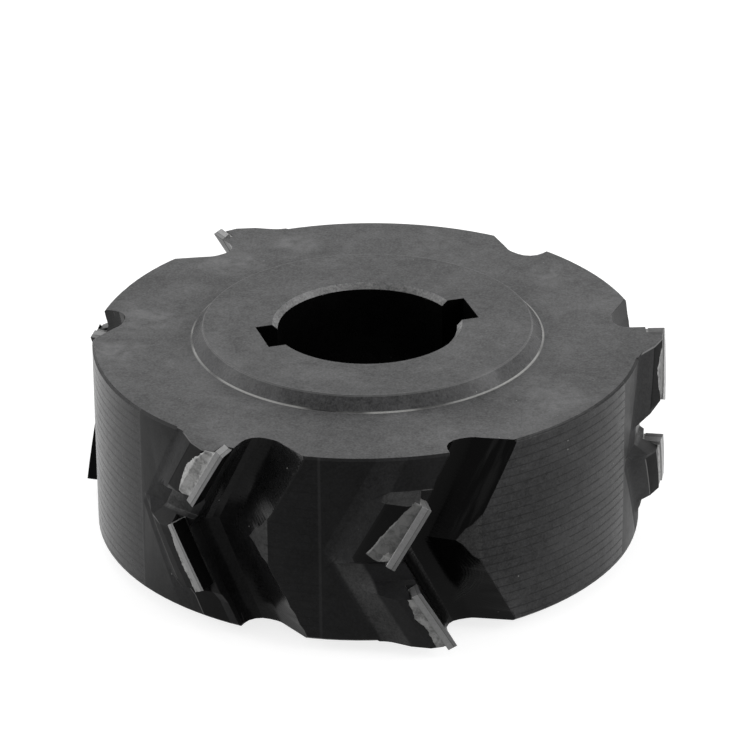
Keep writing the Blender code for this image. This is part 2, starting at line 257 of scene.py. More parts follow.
class Graph:
    """A short way to write node trees."""

    def __init__(self, tree):
        self.tree = tree

    def node(self, kind, **settings):
        made = self.tree.nodes.new(kind)
        for key, value in settings.items():
            setattr(made, key, value)
        return made

    def put(self, socket, value):
        if isinstance(value, bpy.types.NodeSocket):
            self.tree.links.new(value, socket)
        else:
            socket.default_value = value

    def math(self, operation, a, b=0.0, c=0.0, clamp=False):
        made = self.node("ShaderNodeMath", operation=operation, use_clamp=clamp)
        for socket, value in zip(made.inputs, (a, b, c)):
            self.put(socket, value)
        return made.outputs[0]

    def times(self, product, *factors):
        for factor in factors:
            product = self.math("MULTIPLY", product, factor)
        return product

    def invert(self, share):
        return self.math("SUBTRACT", 1.0, share)

    def sway(self, value, texture, amount):
        """The value, moved up and down by a texture that lies round one half."""
        return self.math("MULTIPLY_ADD", self.math("SUBTRACT", texture, 0.5), amount, value)

    def step(self, value, low, high):
        """0 below low, 1 above high, smooth between; low may be above high."""
        made = self.node("ShaderNodeMapRange", interpolation_type="SMOOTHSTEP", clamp=True)
        self.put(made.inputs["Value"], value)
        if low < high:
            made.inputs["From Min"].default_value = low
            made.inputs["From Max"].default_value = high
        else:
            made.inputs["From Min"].default_value = high
            made.inputs["From Max"].default_value = low
            made.inputs["To Min"].default_value = 1.0
            made.inputs["To Max"].default_value = 0.0
        return made.outputs["Result"]

    def band(self, value, low, high, soft):
        """1 between low and high, falling to 0 over soft on both sides."""
        return self.times(self.step(value, low - soft, low), self.step(value, high + soft, high))

    def noise(self, vector, scale, detail=2.0, rough=0.5, distortion=0.0):
        made = self.node("ShaderNodeTexNoise")
        self.put(made.inputs["Vector"], vector)
        made.inputs["Scale"].default_value = scale
        made.inputs["Detail"].default_value = detail
        made.inputs["Roughness"].default_value = rough
        made.inputs["Distortion"].default_value = distortion
        return made.outputs["Fac"]

    def cells(self, vector, scale):
        made = self.node("ShaderNodeTexVoronoi")
        self.put(made.inputs["Vector"], vector)
        made.inputs["Scale"].default_value = scale
        return made.outputs["Distance"], made.outputs["Color"]

    def mix(self, share, a, b):
        """Colour a at share 0 and colour b at share 1."""
        made = self.node("ShaderNodeMix", data_type="RGBA")
        self.put(made.inputs["Factor"], share)
        for socket, value in ((made.inputs["A"], a), (made.inputs["B"], b)):
            self.put(socket, value if isinstance(value, bpy.types.NodeSocket) else (*value, 1.0))
        return made.outputs["Result"]

    def level(self, share, a, b):
        """Number a at share 0 and number b at share 1."""
        made = self.node("ShaderNodeMix", data_type="FLOAT")
        self.put(made.inputs["Factor"], share)
        self.put(made.inputs["A"], a)
        self.put(made.inputs["B"], b)
        return made.outputs["Result"]

    def combine(self, x, y, z):
        made = self.node("ShaderNodeCombineXYZ")
        for socket, value in zip(made.inputs, (x, y, z)):
            self.put(socket, value)
        return made.outputs[0]

    def parts(self, vector):
        """The x, y and z of a vector."""
        made = self.node("ShaderNodeSeparateXYZ")
        self.put(made.inputs[0], vector)
        return made.outputs

    def bump(self, height, normal=None):
        """The normal of a surface with this height, in metres, over another normal."""
        made = self.node("ShaderNodeBump")
        made.inputs["Strength"].default_value = 1.0
        made.inputs["Distance"].default_value = 1.0
        self.put(made.inputs["Height"], height)
        if normal is not None:
            self.put(made.inputs["Normal"], normal)
        return made.outputs["Normal"]

    def soft_edges(self, radius, samples):
        """The normal of a surface whose edges are rounded to the radius."""
        made = self.node("ShaderNodeBevel", samples=samples)
        made.inputs["Radius"].default_value = radius
        return made.outputs[0]


def new_material(name):
    """A Principled material, its node helper, its shader and its coordinates."""
    material = bpy.data.materials.new(name)
    material.use_nodes = True
    graph = Graph(material.node_tree)
    shader = material.node_tree.nodes["Principled BSDF"]
    place = graph.node("ShaderNodeTexCoord").outputs["Object"]
    return material, graph, shader, place


def steel():
    """Black oxide on turned and milled tool steel, with painted light and shade in some zones."""
    material, g, shader, place = new_material("black_oxide_and_painted_light")
    at = locate(g, place)
    skin = oxide_skin(g, place)
    zone = body_zones(g, at, skin)
    marks = tool_marks(g, at, zone)
    g.put(shader.inputs["Base Color"], oxide_colour(g, at, skin, zone, marks))
    g.put(shader.inputs["Roughness"], oxide_roughness(g, at, zone, marks))
    shader.inputs["Metallic"].default_value = 0.0
    shader.inputs["Specular IOR Level"].default_value = 0.15

    surface = g.times(skin.grain, 0.000006)
    surface = g.math("MULTIPLY_ADD", skin.mottle, 0.000010, surface)
    surface = g.math("SUBTRACT", surface, g.times(marks.groove, 0.00001))
    surface = g.math("SUBTRACT", surface, g.times(skin.dark_speck, 0.00002))
    surface = g.math("MULTIPLY_ADD", marks.cusps, 0.0000025, surface)
    g.put(shader.inputs["Normal"], g.bump(surface, g.soft_edges(0.00012, 6)))
    return material


def locate(g, place):
    """Where a point lies on the body; the angles are in degrees.

    lead is measured from the nearest gullet's apex and ahead from its leaning
    cutting line. Both start again with each pair of gullets.
    """
    x, y, z = g.parts(place)
    radius = g.math("SQRT", g.math("ADD", g.times(x, x), g.times(y, y)))
    turn = g.math("DEGREES", g.math("ARCTAN2", y, x))
    facing = g.parts(g.node("ShaderNodeNewGeometry").outputs["True Normal"])
    upright = g.math("ABSOLUTE", facing[2])
    is_face = g.step(upright, 0.90, 0.97)
    lead = g.math("FLOORED_MODULO", g.math("SUBTRACT", turn, FIRST_GULLET), THIRD)
    rise = g.math("ABSOLUTE", g.math("SUBTRACT", z, MID_HEIGHT))
    ahead = g.math("SUBTRACT", turn, FIRST_GULLET - WRAP)
    ahead = g.math("SUBTRACT", ahead, g.times(rise, math.degrees(TWIST)))
    ahead = g.math("SUBTRACT", g.math("FLOORED_MODULO", ahead, THIRD), WRAP)
    return SimpleNamespace(
        place=place,
        x=x,
        y=y,
        z=z,
        radius=radius,
        upright=upright,
        is_face=is_face,
        side_wall=g.invert(is_face),
        lead=lead,
        ahead=ahead,
    )


def oxide_skin(g, place):
    """The cloudy blotches, grain and specks of the oxide."""
    wisps = g.noise(place, *WISPS)
    grain = g.noise(place, *GRAIN)
    mottle = g.noise(place, *MOTTLE)
    tone = g.math("MULTIPLY_ADD", g.step(g.noise(place, *CLOUDS), 0.40, 0.70), 0.22, 0.41)
    tone = g.sway(tone, wisps, 0.40)
    tone = g.sway(tone, grain, 0.85)
    tone = g.sway(tone, mottle, 0.40)
    near, pick = g.cells(place, SPECK_CELLS)
    chance = g.node("ShaderNodeSeparateColor")
    g.put(chance.inputs[0], pick)
    return SimpleNamespace(
        wisps=wisps,
        grain=grain,
        mottle=mottle,
        tone=tone,
        light_speck=g.times(g.step(near, 0.10, 0.05), g.step(chance.outputs[0], *SPECK_SHARE)),
        dark_speck=g.times(g.step(near, 0.13, 0.06), g.step(chance.outputs[1], *SPECK_SHARE)),
    )


def body_zones(g, at, skin):
    """Masks of the parts of the body that look different, each from 0 to 1."""

    def zone(line, span):
        start, end, soft = span
        return g.band(at.ahead, line + start, line + end, soft)

    def both(lines, span):
        return g.math("ADD", *(zone(line, span) for line in lines), clamp=True)

    near_rim = g.step(at.radius, *NEAR_RIM)
    on_land = g.step(at.radius, *ON_LAND)
    stretches = ((0.0, PAIR_SPREAD), (PAIR_SPREAD, THIRD))
    open_rim = [
        g.band(at.lead, start + HEEL_ANGLE - HEEL_ROUNDING, end - RELIEF_ANGLE, 0.15)
        for start, end in stretches
    ]
    open_rim = g.math("ADD", *open_rim, clamp=True)
    relief_line_highlight = [
        g.band(at.lead, end - RELIEF_ANGLE - 0.15, end - RELIEF_ANGLE + 0.15, 0.25)
        for start, end in stretches
    ]
    flats = [on_heel_flat(g, at, line) for line in GULLETS]
    hollow = g.times(both(GULLETS, GULLET), g.step(at.radius, *PAST_HUB))

    # Painted light on the shoulder, an upward slope that catches the light; it is brightest
    # towards its outer corner
    slant = g.math("MULTIPLY_ADD", g.math("SUBTRACT", at.ahead, PAIR_SPREAD), -0.0012, at.z)
    slant = g.sway(slant, skin.wisps, 0.003)
    lit_shoulder = g.times(
        zone(FOLLOWING, SHOULDER), g.band(at.z, *SHOULDER_HEIGHT), g.step(at.upright, 0.4, 0.6)
    )
    # The lands and the back of the following upper seat, darkened in the colour as painted shade
    upper_land = g.times(zone(LEADING, UPPER_LAND), on_land, g.step(at.z, *ABOVE_POCKET))
    outer_land = g.times(zone(LEADING, OUTER_LAND), on_land, g.step(at.z, *BELOW_UPPER_TIP))
    low_land = g.times(zone(LEADING, LOW_LAND), near_rim, g.step(at.z, *BELOW_LOWER_TIP))
    # The pocket floor between two teeth, which the colour makes lighter as painted light
    middle = MID_HEIGHT + (OUTER_ROW - INNER_ROW) / 2 - NOTCH_SHIFT
    pocket_floor = g.times(
        g.band(at.z, middle - NOTCH_HALF_FLOOR, middle + NOTCH_HALF_FLOOR, 0.0004),
        g.band(at.radius, NOTCH_RADIUS - 0.0003, NOTCH_RADIUS + 0.0003, 0.0002),
    )
    return SimpleNamespace(
        rim=g.times(at.side_wall, g.step(at.radius, *ROUND_RIM), open_rim),
        relief_line_highlight=g.times(g.math("ADD", *relief_line_highlight, clamp=True), at.side_wall),
        hollow=hollow,
        cut=g.times(hollow, at.side_wall),
        heel_flat=g.times(g.math("ADD", *flats, clamp=True), at.side_wall),
        ramp=g.times(both((LEADING, FOLLOWING), RAMP), near_rim),
        lower_ramp=g.times(zone(FOLLOWING, LOWER_RAMP), g.step(at.z, *BELOW_MIDDLE), near_rim),
        eased=g.times(g.invert(open_rim), near_rim, at.side_wall),
        following=g.band(at.lead, PAIR_SPREAD - 0.5, PAIR_SPREAD + 28, 0.5),
        broad_rim=g.band(at.lead, PAIR_SPREAD + HEEL_ANGLE, THIRD - RELIEF_ANGLE, 0.4),
        gullet_lip_highlight=both(GULLETS, GULLET_LIP),
        lit_shoulder=g.times(lit_shoulder, g.level(g.step(slant, 0.0325, 0.0318), 0.45, 1.0)),
        seat_back_shade=g.times(zone(FOLLOWING, SEAT_BACK), on_land, g.band(at.z, *SEAT_BACK_HEIGHT)),
        upper_land=g.times(upper_land, at.side_wall),
        outer_land=g.math("MAXIMUM", outer_land, low_land),
        top_edge_highlight=g.times(g.band(at.z, *TOP_EDGE_HEIGHT), zone(LEADING, TOP_EDGE), at.side_wall),
        crest=g.times(zone(LEADING, CREST), near_rim, g.step(at.z, *BELOW_CREST), at.side_wall),
        lit_pocket=g.times(zone(LEADING, POCKET), pocket_floor),
        streaks=zone(FOLLOWING, STREAKS),
    )


def on_heel_flat(g, at, line):
    """1 on the upright flat at a gullet's inner corner."""
    past = g.math("SUBTRACT", at.lead, line + HEEL_ANGLE)
    turn = g.math("RADIANS", past)
    lean = g.times(g.math("SINE", turn), HEEL_FLAT_LEAN)
    across = g.times(at.radius, g.math("SUBTRACT", g.math("COSINE", turn), lean))
    off = g.math("SUBTRACT", across, BODY_RADIUS)
    return g.times(g.band(off, -0.00005, 0.00005, 0.00003), g.band(past, -7.5, 0.0, 0.1))


def tool_marks(g, at, zone):
    """Turning grooves round the open rim, and what milling left in the gullets."""
    ripple = g.noise(g.combine(at.x, at.y, g.times(at.z, 8.0)), 160, 2, 0.5)
    wave = g.math("MULTIPLY_ADD", at.z, 2 * math.pi / TURNING_PITCH, g.times(ripple, 0.5))
    groove = g.math("POWER", g.math("MULTIPLY_ADD", g.math("SINE", wave), 0.5, 0.5), 14.0)
    broken = g.noise(g.combine(at.x, at.y, g.times(at.z, 5.0)), 420, 2, 0.6)
    fainter_left = g.level(g.step(at.x, -0.005, 0.020), 0.55, 1.0)
    drawn = g.noise(g.combine(g.times(at.ahead, 0.12), g.times(at.z, 14.0), 0.0), 6, 2, 0.6)
    slope = g.math("ADD", at.z, g.times(at.radius, 0.6))
    cusps = g.math("SINE", g.times(slope, 2 * math.pi / CUSP_PITCH))
    return SimpleNamespace(
        groove=g.times(groove, g.step(broken, 0.28, 0.50), zone.rim, fainter_left),
        streaks=g.times(
            g.step(drawn, 0.42, 0.66), zone.streaks, zone.cut, g.step(at.z, *ABOVE_BEND), 0.6
        ),
        arcs=cutter_arcs(g, at, zone.hollow),
        cusps=g.times(cusps, zone.cut),
    )


def cutter_arcs(g, at, hollow):
    """Fine arcs that the milling cutter left where it ran out of a lower gullet."""
    across = g.times(g.math("SUBTRACT", at.lead, ARC_CENTRE), math.radians(1) * ARC_FLOOR)
    up = g.math("SUBTRACT", at.z, ARC_HEIGHT)
    far = g.math("SQRT", g.math("ADD", g.times(across, across), g.times(up, up)))
    arcs = g.math("SINE", g.times(far, 2 * math.pi / ARC_PITCH))
    arcs = g.math("MULTIPLY_ADD", arcs, 0.5, 0.5)
    broken = g.noise(g.combine(g.times(far, 5.0), across, up), 420, 2)
    return g.times(
        arcs,
        g.step(broken, 0.30, 0.65),
        g.band(far, *ARC_BAND),
        g.step(at.lead, PAIR_SPREAD + 12.5, PAIR_SPREAD + 15.5),
        g.step(at.z, *BELOW_BEND),
        hollow,
        0.40,
    )


def rubbed(g, place, wisps):
    """Where the oxide of a face is rubbed lighter: a few soft cloudy places."""
    spread = None
    for x, y, reach in RUBBED_PLACES:
        off = g.node("ShaderNodeVectorMath", operation="MULTIPLY_ADD")
        g.put(off.inputs[0], place)
        off.inputs[1].default_value = (1, 1, 0)
        off.inputs[2].default_value = (-x, -y, 0)
        far = g.node("ShaderNodeVectorMath", operation="LENGTH")
        g.put(far.inputs[0], off.outputs["Vector"])
        part = g.step(far.outputs["Value"], reach, reach * 0.25)
        spread = part if spread is None else g.math("MAXIMUM", spread, part)
    cloud = g.step(g.noise(place, *RUBBED_CLOUDS), 0.38, 0.66)
    return g.times(spread, g.math("MULTIPLY_ADD", cloud, 0.75, 0.10), g.times(wisps, 0.75))


def oxide_colour(g, at, skin, zone, marks):
    """The body's colour: each coat covers what lies under it by its mask. Some coats are painted
    light and shade.
    """

    def tinted(name):
        return g.mix(skin.tone, *OXIDE[name])

    def coat(under, mask, share, colour):
        return g.mix(g.times(mask, share), under, colour)

    face = g.mix(rubbed(g, at.place, skin.wisps), tinted("face"), RUBBED_GREY)
    flank = g.mix(zone.broad_rim, tinted("flank"), tinted("broad_rim"))
    flank = g.mix(zone.ramp, flank, tinted("ramp"))
    flank = g.mix(zone.lower_ramp, flank, tinted("lower_ramp"))
    # Painted highlight: a faint light line along each gullet's lip
    flank = coat(flank, zone.gullet_lip_highlight, 0.10, grey(0.07))
    # Painted shade: the following gullets are made almost black
    cut = coat(tinted("cut"), zone.following, 0.96, grey(0.0005))
    colour = g.mix(zone.cut, flank, cut)
    colour = g.mix(zone.heel_flat, colour, tinted("heel_flat"))
    colour = g.mix(at.is_face, colour, face)

    # Painted light: the pocket floor is made lighter, more so in cloudy places
    cloudy = g.level(g.step(skin.wisps, 0.40, 0.62), 0.35, 0.95)
    colour = coat(colour, zone.lit_pocket, cloudy, tinted("lit_pocket"))
    # Painted shade on the back of the following upper seat and on the lands
    colour = coat(colour, zone.seat_back_shade, 0.9, grey(0.0008))
    colour = coat(colour, zone.upper_land, 0.6, grey(0.0008))
    colour = coat(colour, zone.outer_land, 0.75, grey(0.0008))
    # Painted highlight along the rim's top edge behind each leading gullet
    colour = coat(colour, zone.top_edge_highlight, 0.60, grey(0.20))
    # Painted light on the shoulder's upward slope
    colour = g.mix(zone.lit_shoulder, colour, tinted("lit_shoulder"))
    colour = g.mix(marks.arcs, colour, grey(0.036))
    colour = g.mix(marks.streaks, colour, grey(0.018))
    colour = coat(colour, marks.groove, 0.6, grey(0.0005))
    # Painted highlight: a faint light line along each relief edge
    colour = coat(colour, zone.relief_line_highlight, 0.10, grey(0.12))
    # Painted highlight: a light line along each land's crest
    colour = coat(colour, zone.crest, 0.55, grey(0.18))

    # The step of the hub, with a painted highlight along its foot and its top edge, and the bore
    proud = g.math(
        "ADD",
        g.step(at.z, BODY_TOP + 0.0001, BODY_TOP + 0.0002),
        g.step(at.z, BODY_BOTTOM - 0.0001, BODY_BOTTOM - 0.0002),
        clamp=True,
    )
    bevel = g.times(g.band(at.radius, HUB_RADIUS + 0.0001, HUB_FOOT, 0.0001), proud)
    colour = g.mix(bevel, colour, tinted("bevel"))
    foot_highlight = g.times(
        g.band(at.radius, HUB_FOOT - 0.00012, HUB_FOOT + 0.00012, 0.00012),
        at_face_level(g, at.z),
        g.step(g.noise(at.place, 90, 2), 0.25, 0.6),
        g.level(g.band(at.x, -0.0085, -0.0015, 0.0020), 1.0, 0.35),
    )
    colour = coat(colour, foot_highlight, 0.9, FOOT_HIGHLIGHT)
    hub_edge_highlight = g.times(g.band(at.radius, HUB_RADIUS - 0.00008, HUB_RADIUS + 0.00012, 0.0001), proud)
    colour = coat(colour, hub_edge_highlight, 0.35, grey(0.2))
    chamfer = g.times(
        g.band(at.radius, BORE_RADIUS, BORE_RADIUS + BORE_CHAMFER, 0.00003),
        g.band(at.upright, 0.6, 0.8, 0.05),
    )
    # The bore's chamfer is light grey, patchy by a noise
    chamfer_share = g.level(g.step(g.noise(at.place, 75, 2), 0.40, 0.60), 0.72, 0.95)
    colour = coat(colour, chamfer, chamfer_share, tinted("chamfer"))
    # Painted shade: the bore's wall is made almost black
    bore_shade = g.times(g.step(at.radius, *IN_BORE), at.side_wall, g.invert(chamfer))
    colour = g.mix(bore_shade, colour, grey(0.0012))

    colour = coat(colour, skin.light_speck, 0.45, LIGHT_SPECK)
    return coat(colour, skin.dark_speck, 0.6, grey(0.002))


def at_face_level(g, z):
    """1 at the upper or the lower face's level, where the hub step meets the body."""
    top = g.band(z, BODY_TOP - 0.00005, BODY_TOP + 0.00015, 0.00005)
    bottom = g.band(z, BODY_BOTTOM - 0.00015, BODY_BOTTOM + 0.00005, 0.00005)
    return g.math("ADD", top, bottom, clamp=True)


def oxide_roughness(g, at, zone, marks):
    """How rough the oxide is: what each zone adds to its uneven sheen."""
    rough = g.math("MULTIPLY_ADD", g.noise(at.place, *SHEEN), 0.16, 0.20)
    for mask, amount in (
        (at.is_face, 0.18),
        (zone.hollow, -0.06),
        (g.times(zone.ramp, at.side_wall), 0.30),
        (zone.eased, 0.10),
        (g.math("MAXIMUM", zone.upper_land, zone.outer_land), 0.40),
        (marks.groove, 0.30),
    ):
        rough = g.math("MULTIPLY_ADD", mask, amount, rough)
    return rough


def tip_material(name, dark, light, rough, metallic, grain_scale, depth):
    """One layer of a tip: a fine grained ground or polished surface."""
    material, g, shader, place = new_material(name)
    fine = g.noise(place, grain_scale, 3, 0.65)
    tone = g.math("MULTIPLY_ADD", fine, 0.8, g.times(g.noise(place, 420, 2), 0.3))
    g.put(shader.inputs["Base Color"], g.mix(tone, grey(dark), grey(light)))
    sheen = g.math("MULTIPLY_ADD", g.noise(place, 1300, 2), 0.14, rough - 0.07)
    g.put(shader.inputs["Roughness"], sheen)
    shader.inputs["Metallic"].default_value = metallic
    shader.inputs["Specular IOR Level"].default_value = 0.2 if metallic else 0.08
    stripes = g.times(g.noise(place, grain_scale * 1.7, 2), depth)
    g.put(shader.inputs["Normal"], g.bump(stripes, g.soft_edges(0.00004, 4)))
    return material


def braze_material(name, dark, light, metallic):
    """Silver braze: a dull bright skin with flux stains; its darker copies also serve as painted
    shade.
    """
    material, g, shader, place = new_material(name)
    stain = g.noise(place, 620, 4, 0.7, 0.8)
    grain = g.noise(place, 3200, 2, 0.7)
    tone = g.math("MULTIPLY_ADD", g.step(stain, 0.3, 0.62), 0.75, g.times(grain, 0.35))
    g.put(shader.inputs["Base Color"], g.mix(tone, grey(dark), (light, light, light * 0.985)))
    g.put(shader.inputs["Roughness"], g.math("MULTIPLY_ADD", stain, 0.25, 0.32))
    shader.inputs["Metallic"].default_value = metallic
    shader.inputs["Specular IOR Level"].default_value = 0.1 if metallic == 0.0 else 0.5
    lumps = g.times(g.noise(place, 1100, 3, 0.6), 0.00003)
    g.put(shader.inputs["Normal"], g.bump(lumps))
    return material


# Geometry


def polar(radius, angle, height):
    return Vector((radius * math.cos(angle), radius * math.sin(angle), height))


def gullet_angles(kind):
    return [math.radians(FIRST_GULLET + kind * PAIR_SPREAD + i * THIRD) for i in range(3)]


def rows():
    """Each tip row: its name, its gullets, its side and its height."""
    return [
        ("leading_upper", gullet_angles(0), 1, MID_HEIGHT + OUTER_ROW),
        ("following_upper", gullet_angles(1), 1, MID_HEIGHT + INNER_ROW),
        ("leading_lower", gullet_angles(0), -1, MID_HEIGHT - INNER_ROW),
        ("following_lower", gullet_angles(1), -1, MID_HEIGHT - OUTER_ROW),
    ]


def plate_point(apex, side, centre, along, behind, radius):
    """A point in a leaning tip's own terms: along its edge, behind it, and out."""
    height = centre + side * (along * math.cos(SHEAR) + behind * math.sin(SHEAR))
    shift = along * math.sin(SHEAR) - behind * math.cos(SHEAR)
    start = apex + side * TWIST * (centre - MID_HEIGHT)
    return polar(radius, start + shift / CUTTING_RADIUS, height)


def level_back(behind):
    """How far a point of a leaning plate lies behind the edge, measured level."""
    return behind / math.cos(SHEAR)


def on_chord(back, start, end):
    """The radius of a straight level line between two points of back and radius."""
    whole = math.sin((end[0] - start[0]) / CUTTING_RADIUS)
    past = math.sin((back - start[0]) / CUTTING_RADIUS)
    left = math.sin((end[0] - back) / CUTTING_RADIUS)
    return start[1] * end[1] * whole / (start[1] * past + end[1] * left)


def land_radius(back):
    """The land's radius at a level distance behind the edge."""
    ahead = (-LAND_START, LAND_FRONT + (LAND_FRONT - LAND_BEND) * LAND_START / LAND_BREAK)
    bend = (LAND_BREAK, LAND_BEND)
    if back < LAND_BREAK:
        return on_chord(back, ahead, bend)
    return on_chord(back, bend, (LAND_WIDTH, LAND_CREST))


def backed_span(kind, side, centre, behind, radius):
    """The ends of the stretch of a tip's length that has the body behind it."""
    between = (OUTER_ROW - INNER_ROW) / 2
    notch = MID_HEIGHT + (between if kind.startswith("leading") else -between) - NOTCH_SHIFT
    flank = UPPER_FLANK if side > 0 else LOWER_FLANK
    wall = side * (notch - centre) + NOTCH_HALF_FLOOR + (radius - NOTCH_RADIUS) * flank
    face = side * ((BODY_TOP if side > 0 else BODY_BOTTOM) - centre) - 0.00008
    low = (wall - behind * math.sin(SHEAR)) / math.cos(SHEAR)
    high = (face - behind * math.sin(SHEAR)) / math.cos(SHEAR)
    return max(low, -TIP_LENGTH / 2), min(high, TIP_LENGTH / 2)


def from_table(table, share):
    """A value read between the points of a table."""
    for (at, value), (next_at, next_value) in zip(table, table[1:]):
        if share <= next_at:
            return value + (next_value - value) * max(0.0, share - at) / (next_at - at)
    return table[-1][1]


def finish_piece(name, bm, materials, smooth_angle=30):
    bmesh.ops.recalc_face_normals(bm, faces=bm.faces)
    mesh = bpy.data.meshes.new(name)
    bm.to_mesh(mesh)
    bm.free()
    thing = bpy.data.objects.new(name, mesh)
    bpy.context.scene.collection.objects.link(thing)
    for material in materials:
        mesh.materials.append(material)
    mesh.shade_smooth()
    mesh.set_sharp_from_angle(angle=math.radians(smooth_angle))
    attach(thing, "root")
    return thing


def join_rings(bm, rings, layer):
    """Faces between rings of vertices; layer gives the material of each side."""
    count = len(rings[0])
    for this, after in zip(rings, rings[1:]):
        for i in range(count):
            j = (i + 1) % count
            made = bm.faces.new((this[i], this[j], after[j], after[i]))
            made.material_index = layer(i)


def tip_outline():
    """A tip's section: behind, radius and the layer that starts there.

    Layers: 0 polished diamond, 1 ground diamond, 2 bond line, 3 hard metal.
    """
    inner = CUTTING_RADIUS - TIP_DEPTH
    edge = TIP_BREAK * 0.4

    def crest(behind):
        return CUTTING_RADIUS - behind * CLEARANCE

    return [
        (0.0, inner + TIP_BREAK, 0),
        (0.0, CUTTING_RADIUS - edge, 1),
        (edge, crest(edge), 1),
        (DIAMOND_END, crest(DIAMOND_END), 2),
        ((DIAMOND_END + BOND_END) / 2, crest(BOND_END) - BOND_DIP, 2),
        (BOND_END, crest(BOND_END), 3),
        (TIP_THICKNESS - TIP_BREAK, crest(TIP_THICKNESS - TIP_BREAK), 3),
        (TIP_THICKNESS, crest(TIP_THICKNESS) - TIP_BREAK, 3),
        (TIP_THICKNESS, inner, 3),
        (BOND_END, inner, 3),
        (DIAMOND_END, inner, 1),
        (TIP_BREAK, inner, 0),
    ]


def make_tip(name, apex, side, centre, materials):
    """One tip: a diamond layer and its hard metal backing, bonded into one."""
    outline = tip_outline()
    bm = bmesh.new()
    half = TIP_LENGTH / 2
    spans = [-half, -half + TIP_BREAK, -half / 2, 0.0, half / 2, half - TIP_BREAK, half]
    rings = []
    for index, along in enumerate(spans):
        shrink = TIP_BREAK if index in (0, len(spans) - 1) else 0.0
        ring = []
        for behind, radius, _ in outline:
            inset = shrink if behind > TIP_THICKNESS / 2 else -shrink
            rise = shrink if radius < CUTTING_RADIUS - TIP_DEPTH / 2 else -shrink
            point = plate_point(apex, side, centre, along, behind - inset, radius + rise)
            ring.append(bm.verts.new(point))
        rings.append(ring)
    join_rings(bm, rings, lambda i: outline[i][2])
    # The outline's points round the diamond, the bond line and the hard metal
    ends = ((1, (0, 1, 2, 3, 10, 11)), (2, (3, 4, 5, 9, 10)), (3, (5, 6, 7, 8, 9)))
    for ring in (rings[0], rings[-1]):
        for layer, corners in ends:
            made = bm.faces.new([ring[i] for i in corners])
            made.material_index = layer
    return finish_piece(name, bm, materials)


def rough_edge(seed, along, scale):
    """A wandering number between about -1 and 1 along a line."""
    spot = Vector((seed * 7.31, along * scale, 0.37))
    return noise.noise(spot) + 0.5 * noise.noise(spot * 2.7) + 0.25 * noise.noise(spot * 6.1)


def run_width(kind, share, seed):
    table, wander = RUN_WIDTHS[kind]
    return from_table(table, share) + wander * rough_edge(seed, share, 2.6)


def make_film(name, apex, side, centre, kind, seed, materials):
    """Braze that ran from the joint over the land, thin and uneven."""
    fray = SMOOTH_FRAY if kind == "following_upper" else FILM_FRAY
    bm = bmesh.new()
    grid = []
    covers = []
    for j in range(FILM_ROWS + 1):
        away = FILM_START + FILM_REACH * j / FILM_ROWS
        behind = TIP_THICKNESS + away
        ground = land_radius(level_back(behind))
        low, high = backed_span(kind, side, centre, behind, ground)
        row, cover = [], []
        for i in range(FILM_COLUMNS + 1):
            along = low + (high - low) * i / FILM_COLUMNS
            spot = Vector((along * FRAY_SCALE, behind * FRAY_SCALE, seed * 3.3))
            width = run_width(kind, along / (TIP_LENGTH / 2), seed)
            inside = width + fray * noise.noise(spot) - away
            ends = min(1.0, (along - low) / FILM_ENDS + 0.1, (high - along) / FILM_ENDS + 0.1)
            lift = FILM_HEIGHT * min(1.0, max(-1.0, inside / FILM_EDGE)) * ends
            lift += FILM_RIPPLE * noise.noise(spot * 0.35)
            heap = HEAP_HEIGHT * math.exp(-away / HEAP_REACH) * ends
            radius = ground + lift + (heap if inside > 0 else 0.0)
            row.append(bm.verts.new(plate_point(apex, side, centre, along, behind, radius)))
            cover.append(inside)
        grid.append(row)
        covers.append(cover)
    for j in range(FILM_ROWS):
        for i in range(FILM_COLUMNS):
            corners = ((j, i), (j, i + 1), (j + 1, i + 1), (j + 1, i))
            if max(covers[b][a] for b, a in corners) < FILM_TRIM:
                continue
            made = bm.faces.new([grid[b][a] for b, a in corners])
            blob = BLOB_COLUMNS + BLOB_WANDER * rough_edge(seed, j * 0.3, 1.0)
            if len(materials) > 1 and i < blob and j < BLOB_ROWS:
                made.material_index = 1
    loose = [v for v in bm.verts if not v.link_faces]
    bmesh.ops.delete(bm, geom=loose, context="VERTS")
    return finish_piece(name, bm, materials, 60)


def make_bead(name, apex, side, centre, kind, seed, materials):
    """The braze in the joint: painted shade as a dark line under the tip, a bright line behind
    it.
    """
    bm = bmesh.new()
    inner = CUTTING_RADIUS - TIP_DEPTH
    back = TIP_THICKNESS + BRAZE_GAP
    heel = land_radius(level_back(back))
    rings = []
    for i in range(BEAD_STEPS + 1):
        share = 2 * i / BEAD_STEPS - 1
        swell = BEAD_SWELL * rough_edge(seed + 11, share, 5)
        ends = 0.0 if 0 < i < BEAD_STEPS else BEAD_END
        section = [
            (0.00008 - swell + ends, inner + 0.00002),
            (0.00004 - swell + ends, inner - 0.00014),
            (0.00006 - swell + ends, inner - BRAZE_GAP),
            (back, inner - BRAZE_GAP),
            (back, heel - 0.00005 - ends),
            (TIP_THICKNESS + BRAZE_GAP / 2, heel + 0.00008 + swell - ends),
            (TIP_THICKNESS + BEAD_TOUCH, heel + 0.00014 + swell - ends),
            (TIP_THICKNESS + BEAD_TOUCH, inner - BEAD_TOUCH),
        ]
        ring = []
        for behind, radius in section:
            low, high = backed_span(kind, side, centre, behind, radius)
            along = low + (high - low) * i / BEAD_STEPS
            ring.append(bm.verts.new(plate_point(apex, side, centre, along, behind, radius)))
        rings.append(ring)
    last = len(rings[0]) - 1
    # The faces in the joint under the tip take the dark braze as painted shade
    join_rings(bm, rings, lambda i: 1 if i < 3 or i == last else 0)
    bm.faces.new(rings[0])
    bm.faces.new(rings[-1])
    return finish_piece(name, bm, materials, 40)


